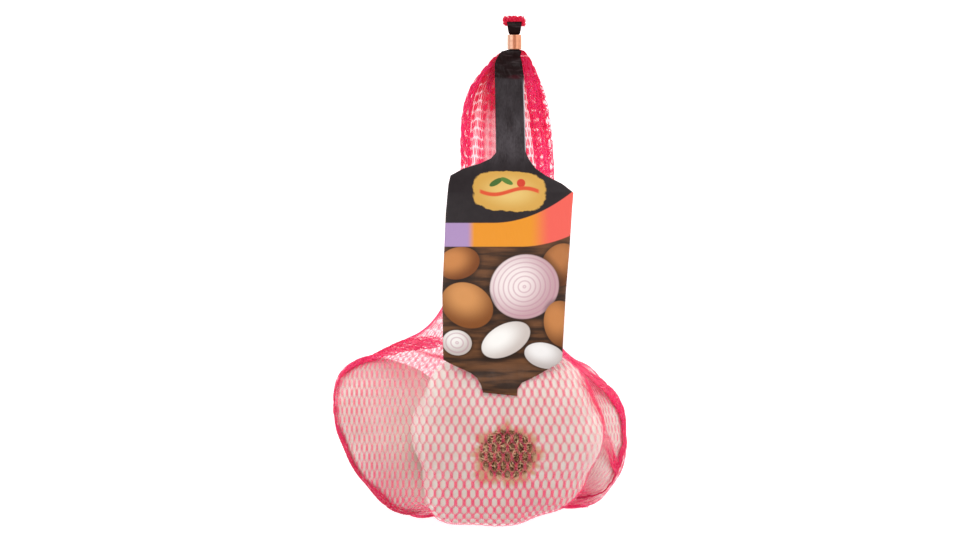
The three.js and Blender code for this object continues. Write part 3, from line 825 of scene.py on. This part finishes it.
def foldStrands(grid, normals, rng):
    # Ribbons of strands that lie on the front along a path: each strand wanders across the ribbon's width and
    # in and out of its thickness, as the sides of narrow, drawn-out cells.
    steps, lanes = ribbon["steps"], ribbon["lanes"]
    t = np.linspace(0, 1, steps)
    kernel = np.hanning(11) / np.hanning(11).sum()
    made = []
    for count, waveLength, stations in folds.values():
        along = np.linspace(0, 1, len(stations))
        x, y, width, depth = (
            np.convolve(np.pad(np.interp(t, along, values), 5, mode="edge"), kernel, mode="valid")
            for values in np.array(stations).T
        )
        along = unit(stack(np.gradient(x), np.gradient(y)))
        lane = np.linspace(-0.5, 0.5, lanes)[None] * width[:, None]
        row, column = frontPlaces(grid, x[:, None] - along[:, 1:] * lane, y[:, None] + along[:, :1] * lane)
        for places in (row, column):
            for _ in range(ribbon["smoothing"]):
                places[1:-1] = (places[:-2] + places[1:-1] + places[2:]) / 3
                places[:, 1:-1] = (places[:, :-2] + 6 * places[:, 1:-1] + places[:, 2:]) / 8
        # where the net falls away steeply, the ribbon's lanes draw together to their middle one
        spread = np.linalg.norm(np.diff(sampleGrid(grid, row, column), axis=1), axis=-1).sum(axis=1)
        share = np.minimum(1, (3.6 * width + 0.4) / spread)[:, None]
        row, column = (mix(places[:, lanes // 2, None], places, share) for places in (row, column))
        waves = np.hypot(np.diff(x), np.diff(y)).sum() / waveLength
        start = np.pi * rng.integers(0, 2, (count, 1)) + rng.normal(0, 0.5, (count, 1))
        home = (np.arange(count)[:, None] + rng.uniform(0, 1, (count, 1))) / count
        across = home + ribbon["sway"] * np.sin(2 * np.pi * waves * t[None] + start)
        across = across + ribbon["ripple"] * np.sin(4 * np.pi * waves * t[None] + 3 * start)
        lanePlace = np.clip(across, 0, 1) * (lanes - 1)
        k = np.minimum(lanePlace.astype(int), lanes - 2)
        i = np.arange(steps)[None]
        row, column = (mix(places[i, k], places[i, k + 1], lanePlace - k) for places in (row, column))
        normal = unit(sampleGrid(normals, row, column))
        rise = 0.5 + 0.5 * np.sin(2 * np.pi * waves * 1.7 * t[None] + 3 * start)
        # the strands start and end at different places, where they thin out and dip under the net
        first, last = rng.uniform(0, 0.1, (count, 1)), rng.uniform(0.9, 1, (count, 1))
        ends = ease((t[None] - first) / ribbon["end"]) * ease((last - t[None]) / ribbon["end"])
        out = (ribbon["low"] + ribbon["thick"] * rise) * ends - 0.5 * (1 - ends)
        paths = sampleGrid(grid, row, column) + normal * out[..., None]
        sizes = ribbon["half"] * np.maximum(ends, 0.1)
        made.append((paths, normal, np.broadcast_to(depth, out.shape), sizes))
    return (np.concatenate(values) for values in zip(*made))


def addNet():
    grid = straighten(netGrid())
    columns = grid.shape[1]
    rng = np.random.default_rng(net["seed"])
    normals = unit(np.cross(np.gradient(grid, axis=0), roundSleeve(grid)))
    grid = pleat(grid, normals, rng)
    # A strand runs along the sleeve from pillar to pillar and swings half a pillar's spacing to one side and
    # back: its place round the sleeve is i + s/2 in odd courses and i in even ones, smooth along the slants.
    stops = np.array([0, 0.28, 0.43, 0.57, 0.72])
    v = np.append((np.arange(courses)[:, None] + stops).ravel(), courses)
    swing = ease((v - np.floor(v) - knit["pillarLength"] / 2) / (1 - knit["pillarLength"]))
    across = np.where(np.floor(v).astype(int) % 2 == 1, 1 - swing, swing) / 2
    inPillar = 1 - ease((np.abs(v - np.round(v)) - 0.26) / 0.14)
    wale = np.repeat(np.arange(net["pillars"]), 2)
    hand = np.tile([1, -1], net["pillars"])[:, None]
    u = (wale[:, None] + hand * across[None]) * (columns / net["pillars"])
    rowOf = courseRows(grid, v, rng)
    iLow = np.floor(u).astype(int)
    step = np.arange(len(v))[None]
    row = mix(rowOf[step, iLow % columns], rowOf[step, (iLow + 1) % columns], u - iLow)
    normal = unit(sampleGrid(normals, row, u))
    centre = sampleGrid(grid, row, u) - knit["sink"] * normal
    # in a pillar the two strands lie side by side
    sideways = unit(np.cross(np.gradient(centre, axis=1), normal))
    apart = hand * np.clip(1.6 * np.cos(np.pi * v), -1, 1)[None] * knit["pillarWidth"] * 0.8
    centre = centre - sideways * apart[..., None]
    x, y, z = np.moveaxis(centre, -1, 0)
    narrow = mix(1, knit["neckThin"], ramp(y, -18, 22))  # the strands are drawn thin in the neck
    widths = mix(knit["slantWidth"], knit["pillarWidth"], inPillar)[None] * narrow
    widths = widths * (1 - (1 - inPillar)[None] * 0.45 * ramp(y, -18, 12))
    onFront = ramp(x, -32, -20) * ramp(x, 44, 36)
    widths = widths * (1 + ramp(y, -20, -32) * (0.36 * onFront - 0.14))
    far = np.linalg.norm((centre[..., :2] - np.array(veil["centre"])) / np.array(veil["half"]), axis=-1)
    widths = widths * (1 + veil["broad"] * ease((1.2 - far) / 0.5))
    # beside the label's neck the net opens, and closes up against the label
    opened, closed = np.exp(-(((x + 2.4) / 1.8) ** 2)), np.exp(-(((x - 1.2) / 1.6) ** 2))
    atNeck = ramp(y, 20, 28) * ramp(y, 66, 56) * ramp(z, 3, 6)
    widths = widths * (1 + atNeck * (0.45 * closed - 0.35 * opened))
    heights = knit["height"] * (1 + 0.2 * inPillar)[None] * narrow
    # each strand goes on through the clip into the frill, flat side up
    tail = cutEnd(len(u), rng)
    tailWidth = np.array([0.08, 0.08, 0.12, 0.16, 0.22, 0.24, 0.2])
    strands = [
        np.concatenate([main, np.broadcast_to(end, tail.shape[:2] + main.shape[2:])], axis=1)
        for main, end in (
            (centre, tail), (normal, (0.0, 0.0, 1.0)), (widths, tailWidth), (heights, tailWidth * 0.8),
            (np.broadcast_to(inPillar, u.shape), 1.0), (np.broadcast_to(v / courses, u.shape), 1.0),
        )
    ]
    material = newMaterial("netStrand", netLook)
    names = ("net_right", "net_front", "net_left", "net_back", "net_under")
    size = -(-len(u) // len(names))
    pieces = [
        addTubes(name, material, 4, *(values[k * size:(k + 1) * size] for values in strands))
        for k, name in enumerate(names)
    ]
    paths, outwards, depths, sizes = foldStrands(grid, normals, rng)
    tone = rng.uniform(0.3, 1.0, (len(paths), 1)) * np.where(depths < 0, 0.2, 1)
    gathered = addTubes("net_folds", material, 4, paths, outwards, sizes, sizes * 0.35, tone, 2 + depths)
    return [*pieces, gathered]


netPieces = addNet()
print("net made")


def labelGrid(line, strip, film):
    # Rows across the label: x runs between the outline's edges, z follows the line and bends down by
    # bow * (distance from the middle / half width)^2.5. After them the strip runs through the clip and
    # flares.
    y = np.linspace(line[0, 0], line[-1, 0], label["rows"])
    aside = film["aside"] * ramp(y, 74, 66) * ramp(y, 34, 42)
    left, right = (edge + aside for edge in edges(labelStations, y))
    extraY, extraZ, halfWidth = np.array([
        (clip["low"], strip["low"], stripHalfWidth), (clip["high"], strip["low"], stripHalfWidth),
        (clip["high"] + 0.5, strip["low"] + film["rise"] * 0.2, 2.0),
        (mix(clip["high"], film["top"], 0.6), strip["low"] + film["rise"] * 0.65, 2.4),
        (film["top"], strip["low"] + film["rise"], film["halfWidth"]),
    ]).T
    y, z, bend, left, right = (np.concatenate(pair)[:, None] for pair in (
        (y, extraY), (np.interp(y, *line.T), extraZ), (film["bow"] * ramp(y, 62, 22), 0 * extraY),
        (left, clip["x"] - halfWidth), (right, clip["x"] + halfWidth),
    ))
    u = np.linspace(-1, 1, label["columns"] + 1)
    out = np.abs(u) * (right - left) / 2 / label["bowHalfWidth"]
    return stack(mix(left, right, (u + 1) / 2), y, z - bend * out ** label["bowPower"] + film["over"])


def addSheet(name, top, materials):
    # A thin closed sheet: the top grid, the same grid lower by the film's thickness, and a rim. Its UV is X
    # and Y in tenths of a metre.
    rows, columns = top.shape[:2]
    count = rows * columns
    quads = gridQuads(rows, columns, False)
    index = np.arange(count).reshape(rows, columns)
    rim = np.concatenate([index[0, :-1], index[:-1, -1], index[-1, :0:-1], index[:0:-1, 0]])
    nextRim = np.roll(rim, -1)
    wall = stack(rim + count, nextRim + count, nextRim, rim)
    faces = [quads, quads[:, ::-1] + count, wall]
    low = top - np.array([0, 0, label["film"]])
    piece = addMesh(name, [top, low], faces, materials, [top[..., :2] / 100] * 2)
    inside = np.repeat([0, 1, 1], [len(f) for f in faces]).astype(np.int32)
    piece.data.polygons.foreach_set("material_index", inside)
    return piece


def labelPrintGroup():  # the printed picture, from a place in millimetres
    tree, colour, place = newGroup("labelPrint", "Color", "Color")
    x, y = place.parts()[:2]
    ripple = place.noise(0.35, 3.0)
    # dark ground of the picture, warmer lower down
    wood = place.mapped(Scale=(0.05, 0.4, 1)).noise(1.0, 4.0)
    picture = wood.soft(0.35, 0.65).between((52, 34, 24), (108, 70, 44))
    # rounds and ovals of the picture: centre, half sizes, turn, edge colour, middle colour, rings
    for centre, half, turn, edge, middle, rings in (
        ((-7.5, 2.2), (7.5, 5.6), 15, (120, 66, 30), (196, 128, 72), 0),
        ((28, 1.5), (6.5, 8), -30, (104, 58, 28), (176, 112, 64), 0),
        ((15.5, -6), (12.2, 11.2), 20, (188, 150, 156), (236, 222, 220), 7),
        ((-4.5, -12.5), (9.5, 7.6), -28, (128, 74, 34), (206, 142, 84), 0),
        ((28.5, -19), (6.2, 8.2), 12, (112, 66, 34), (190, 124, 70), 0),
        ((9, -24.5), (9.2, 5.4), 28, (196, 184, 178), (240, 236, 232), 0),
        ((-8, -25.5), (5.2, 4.4), -10, (190, 178, 172), (236, 230, 226), 3),
        ((22.5, -30), (7.2, 4.4), -14, (186, 176, 172), (234, 230, 228), 0),
    ):
        far, local = place.oval(centre, half, turn)
        tone = local.oval((-0.25, 0.3), (1.15, 1.15))[0].soft(0.2, 1.1).between(middle, edge)
        if rings:
            line = (far * (rings * 6.283)).math("SINE")
            tone = (line.soft(0.2, 1.0) * 0.45).between(tone, (176, 120, 140))
        picture = (far.soft(1.25, 0.95) * 0.6).between(picture, (26, 16, 12))
        picture = far.soft(1.02, 0.97).between(picture, tone)

    def bowed(low, start, rise):  # how far a place is above a line that lies at low and rises right of start
        return y - ((x - start).math("MAXIMUM", 0.0).math("POWER", 2.0) * rise + low)

    # the black head, the coloured band that sweeps up to the right, the picture below it
    band = x.soft(-4.6, -1.8).between((170, 140, 185), (226, 144, 40))
    band = x.soft(17.0, 25.0).between(band, (232, 96, 84))
    result = bowed(8.0, 14.0, 0.0125).soft(-0.2, 0.2).between(picture, band)
    head = ripple.between((34, 28, 30), (47, 40, 42))
    result = bowed(16.3, 4.5, 0.0141).soft(-0.2, 0.2).between(result, head)
    # a plain yellow plate with soft brushed edges, a leaf pair, a round and a sweep
    far, local = place.oval((10.3, 27.4), (12.6, 6.9), -3)
    lx, ly = local.parts()[:2]
    square = (abs(lx).math("POWER", 3.0) + abs(ly).math("POWER", 3.0)).math("POWER", 0.333)
    plate = (square + (ripple - 0.5) * 0.22).soft(1.04, 0.98)
    result = plate.between(result, far.soft(0.2, 1.0).between((224, 188, 112), (208, 160, 78)))
    for centre, half, turn, ink in (
        ((5.6, 30.6), (2.6, 1.0), 30, (70, 104, 48)),
        ((9.4, 31.0), (2.4, 0.9), -28, (86, 124, 56)),
        ((14.4, 30.3), (1.5, 1.5), 0, (206, 66, 46)),
    ):
        result = place.oval(centre, half, turn)[0].soft(1.08, 0.9).between(result, ink)
    sweep = (abs(ly - (lx * 3.4).math("SINE") * 0.2) + 0.02).soft(0.16, 0.08) * abs(lx).soft(0.86, 0.78)
    feed(sweep.between(result, (216, 84, 52)), colour)
    return tree


def printedLook(own, place):
    place = own.mapped(Scale=(100.0, 100.0, 1.0))  # in millimetres
    x, y = place.parts()[:2]
    neck = y.soft(34.0, 44.0)
    long = place.mapped(Scale=(1.0, 0.35, 1.0))
    crush = long.through(creases, Scale=0.22, Sharpness=0.6)
    scuff = long.through(mottle, Coarse=0.3, Fine=2.2, Share=0.4)
    # lighter grey mottling over the neck: scuffs, and in the band from Y 34 to 56 also painted sheen
    scuffAndSheenBand = y.soft(34.0, 42.0) * y.soft(56.0, 48.0)
    base = (scuff * (neck + scuffAndSheenBand) * 0.07).between(place.through(labelPrintGroup()), (170, 160, 168))
    # above the crease the gathered film is painted deeper black, as painted shade of the folds, with a few
    # grey streaks of painted highlight
    above = (y + (scuff - 0.5) * 0.4).soft(label["crease"] - 0.5, label["crease"] + 0.6)
    highlightStreak = place.mapped(Rotation=(0, 0, 0.55), Scale=(0.16, 1.1, 1.0)).noise(1.0, 3.0)
    base = above.between(base, (highlightStreak.soft(0.52, 0.72) * 0.5).between((26, 8, 9), (74, 60, 62)))
    # dark red of the net shines through at the crease's right end
    redAt = place.oval((12.6, label["crease"] + 0.5), (3.0, 0.9))[0]
    base = (redAt.soft(1.3, 0.3) * 0.5).between(base, (72, 8, 24))
    # the clear film past the print, as a pale edge on both sides of the neck
    leftEdge = x.soft(5.75, 5.35) * y.soft(52.0, 47.0)
    rightEdge = (x + (y - 68.0) * 0.0296).soft(14.85, 15.25) * y.soft(68.0, 64.0)
    pale = leftEdge.math("MAXIMUM", rightEdge) * y.soft(40.6, 42.5)
    return {
        "Base Color": (pale * 0.75).between(base, (206, 196, 202)), "Specular IOR Level": 0.12,
        "Roughness": scuff.spread(0.32, 0.48), "Normal": bump(crush * (neck * 0.8 + 0.2), 0.5, 0.0008),
    }


def insideLook(own, place):
    stain = place.through(mottle, Coarse=80.0, Fine=600.0, Share=0.4)
    base = stain.between((208, 204, 206), (188, 184, 188))
    return {"Base Color": base, "Roughness": 0.5, "Normal": bump(stain, 0.2, 0.0003)}


def backLook(own, place):
    place = own.mapped(Scale=(100.0, 100.0, 1.0))  # in millimetres
    y = place.parts()[1]
    scuff = place.through(mottle, Coarse=0.15, Fine=1.6, Share=0.35)
    base = scuff.between((244, 232, 232), (236, 222, 222))
    base = (y.soft(14.0, 14.6) * y.soft(20.6, 20.0)).between(base, (150, 162, 96))
    base = (y.soft(-30.6, -30.0) * y.soft(-24.0, -24.6)).between(base, (206, 150, 84))
    base = (place.oval((4.4, 59.5), (1.4, 3.8))[0].soft(1.2, 0.7) * 0.85).between(base, (92, 88, 52))
    # the film glows a little: painted light that brightens the label where it lies in shade under the net
    return {
        "Base Color": base, "Emission Color": base, "Emission Strength": 0.18, "Roughness": 0.42,
        "Normal": bump(scuff, 0.25, 0.0004),
    }


def addFrontLabel():
    grid = labelGrid(labelLine, frontStrip, label["front"])
    # raised a little where it is crumpled at the neck, and gathered finer above the crease
    x, y = grid[..., 0], grid[..., 1]
    crumple = 1 + np.sin(y * 0.55 + 0.5 * x) * np.cos(x * 0.9 - 0.12 * y)
    gather = 1 + np.sin(1.5 * x + 1.1 * y + np.sin(0.8 * x)) * np.cos(0.7 * x - 0.5 * y)
    grid[..., 2] += ramp(y, 36, 44) * ramp(y, 76, 72) * 0.35 * crumple
    grid[..., 2] += ease((y - label["crease"]) / 1.4) * ease((76.5 - y) / 3) * 0.3 * gather
    # the tab is cut aslant
    grid[..., 1] -= label["tabSlant"] * (x - 7) * ramp(y, -33, -39)
    inks = [newMaterial("labelPrintFilm", printedLook), newMaterial("labelInside", insideLook)]
    return addSheet("label_front", grid, inks)


def addBackLabel():
    y = np.linspace(*labelStations[[0, -1], 0], 200)
    grid = labelGrid(stack(y, backHeight(y)), backStrip, label["back"])
    return addSheet("label_back", grid, [newMaterial("labelBackFilm", backLook)] * 2)


frontLabel, backLabel = addFrontLabel(), addBackLabel()
print("labels made")


def clipLook(own, place):
    brushed = own.mapped(Scale=(60.0, 3.0, 1)).noise(1.0, 3.0)
    stain = place.through(mottle, Coarse=500.0, Fine=2500.0, Share=0.4)
    base = brushed.soft(0.35, 0.65).between((232, 162, 126), (220, 146, 110))
    # the left leg of the strip is painted brighter, as painted light on that side, and a dull seam lies
    # between the two, partly its own colour and partly painted shade in its groove
    across = place.parts()[0] - inFrame([clip["x"]])[0]
    base = (across.soft(0.0, -0.0012) * 0.7).between(base, (240, 196, 172))
    base = (abs(across).soft(0.0005, 0.0001) * 0.6).between(base, (178, 108, 76))
    return {
        "Base Color": (stain * 0.3).between(base, (196, 128, 96)), "Metallic": 0.6,
        "Roughness": stain.spread(0.36, 0.5), "Normal": bump(brushed, 0.25, 0.0001),
    }


def addClip():
    # The band's section goes round a rounded rectangle with a groove in the middle of its front; it is swept
    # along Y, drawn in at both edges and pressed in at the crimps, with the inner wall as a second skin.
    w, h, r = clip["width"] / 2, clip["height"], clip["corner"]

    def corner(x, z, start):
        a = np.radians(np.linspace(start, start + 90, 9))
        return stack(x + r * np.cos(a), z + r * np.sin(a))

    x = np.linspace(w - r, -w + r, 21)[1:-1]
    front = stack(x, h - clip["groove"] * np.exp(-((x / clip["grooveWidth"]) ** 2)))
    outline = np.concatenate([
        corner(w - r, h - r, 0), front, corner(-w + r, h - r, 90),
        corner(-w + r, r, 180), corner(w - r, r, 270),
    ])
    middle = np.array([0, h / 2])
    inner = mix(outline, middle, clip["wall"] / np.linalg.norm(outline - middle, axis=1, keepdims=True))
    y = np.linspace(clip["low"], clip["high"], clip["sections"])
    edge = np.minimum(y - y[0], y[-1] - y) / clip["edgeRound"]
    crimp = 0.5 + 0.5 * np.cos(2 * np.pi * clip["crimps"] * (y - y[0]) / np.ptp(y) + np.pi)
    pressed = clip["edgeRound"] * 0.5 * np.exp(-edge * 1.5) + clip["crimpDepth"] * crimp ** 3
    outer = outline[None] - unit(outline - middle)[None] * pressed[:, None, None]
    skins = np.concatenate([outer, np.broadcast_to(inner, outer.shape)[::-1]])
    points = stack(skins[..., 0] + clip["x"], np.concatenate([y, y[::-1]])[:, None], skins[..., 1])
    points = np.concatenate([points, points[:1]])
    rows, columns = points.shape[:2]
    uv = stack(*np.meshgrid(np.linspace(0, 1, columns), np.linspace(0, 1, rows)))
    material = newMaterial("clipCopper", clipLook)
    return addMesh("clip_band", points, [gridQuads(rows, columns, True)], [material], uv)


clipBand = addClip()
print("clip made")

studio = {
    "distance": 8000.0,  # of the camera from the middle of the bag's height
    "middle": (0.0, -0.175, 45.0),
    "frameWidth": 336.0, "sensor": 36.0,
    "world": 0.52, "floor": 2.5, "floorGlow": 0.6,
    # name, power, size, place and turn of each light
    "lights": (
        ("above", 24.0, 1.2, (-0.2, 0.9, 2.3), (-21, -5, 0)),
        ("left", 0.5, 0.9, (-0.95, 0.6, 0.75), (-30, -48, 0)),
        ("low", 0.6, 0.7, (-1.1, -0.15, 0.35), (8, -72, 0)),
        ("right", 3.6, 0.8, (0.9, 0.4, 0.8), (-20, 46, 0)),
        ("foot", 0.3, 0.8, (0.0, -0.95, 0.8), (50, 0, 0)),
    ),
}


def floorLook(own, place):
    stain = place.through(mottle, Coarse=6.0, Fine=90.0, Share=0.2)
    return {
        "Base Color": stain.spread(0.93, 0.91), "Roughness": 0.9,
        "Emission Color": (1, 1, 1, 1), "Emission Strength": studio["floorGlow"],
    }


def addStudio():
    corners = np.array([(-1, -1), (1, -1), (1, 1), (-1, 1)]) * studio["floor"] * 1000
    corners = stack(corners[:, 0], corners[:, 1], -0.05)
    addMesh("floor", corners, [np.array([[0, 1, 2, 3]])], [newMaterial("paleFloor", floorLook)])
    scene = bpy.context.scene
    world = bpy.data.worlds.new("softWhite")
    world.use_nodes = True
    light = world.node_tree.nodes["Background"].inputs
    light[0].default_value, light[1].default_value = (1, 1, 1, 1), studio["world"]
    scene.world = world
    for name, power, size, place, turn in studio["lights"]:
        light = bpy.data.lights.new(name, "AREA")
        light.energy, light.size = power, size
        lamp = bpy.data.objects.new(name, light)
        lamp.location, lamp.rotation_euler = place, np.radians(turn)
        lamp.visible_camera = False
        scene.collection.objects.link(lamp)
    camera = bpy.data.objects.new("camera", bpy.data.cameras.new("camera"))
    camera.data.sensor_width = studio["sensor"]
    camera.data.lens = studio["sensor"] * studio["distance"] / studio["frameWidth"]
    camera.data.clip_start, camera.data.clip_end = 0.1, 40.0
    x, y, z = inFrame(studio["middle"])
    camera.location = (x, y, z + studio["distance"] / 1000)
    scene.collection.objects.link(camera)
    scene.camera = camera
    scene.view_settings.view_transform = "Standard"
    scene.cycles.transparent_max_bounces = 32


addStudio()

for piece in [*netPieces, *bulbPieces, *rootPieces]:
    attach(piece, "root")
    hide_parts("net_bag")
for piece in bulbPieces:
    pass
for piece in rootPieces:
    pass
for piece, node, slotName in (
    (frontLabel, "front_label", "label_print"),
    (backLabel, "back_label", "label_back"),
    (clipBand, "clip", "clip_metal"),
):
    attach(piece, "root")
    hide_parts(node)
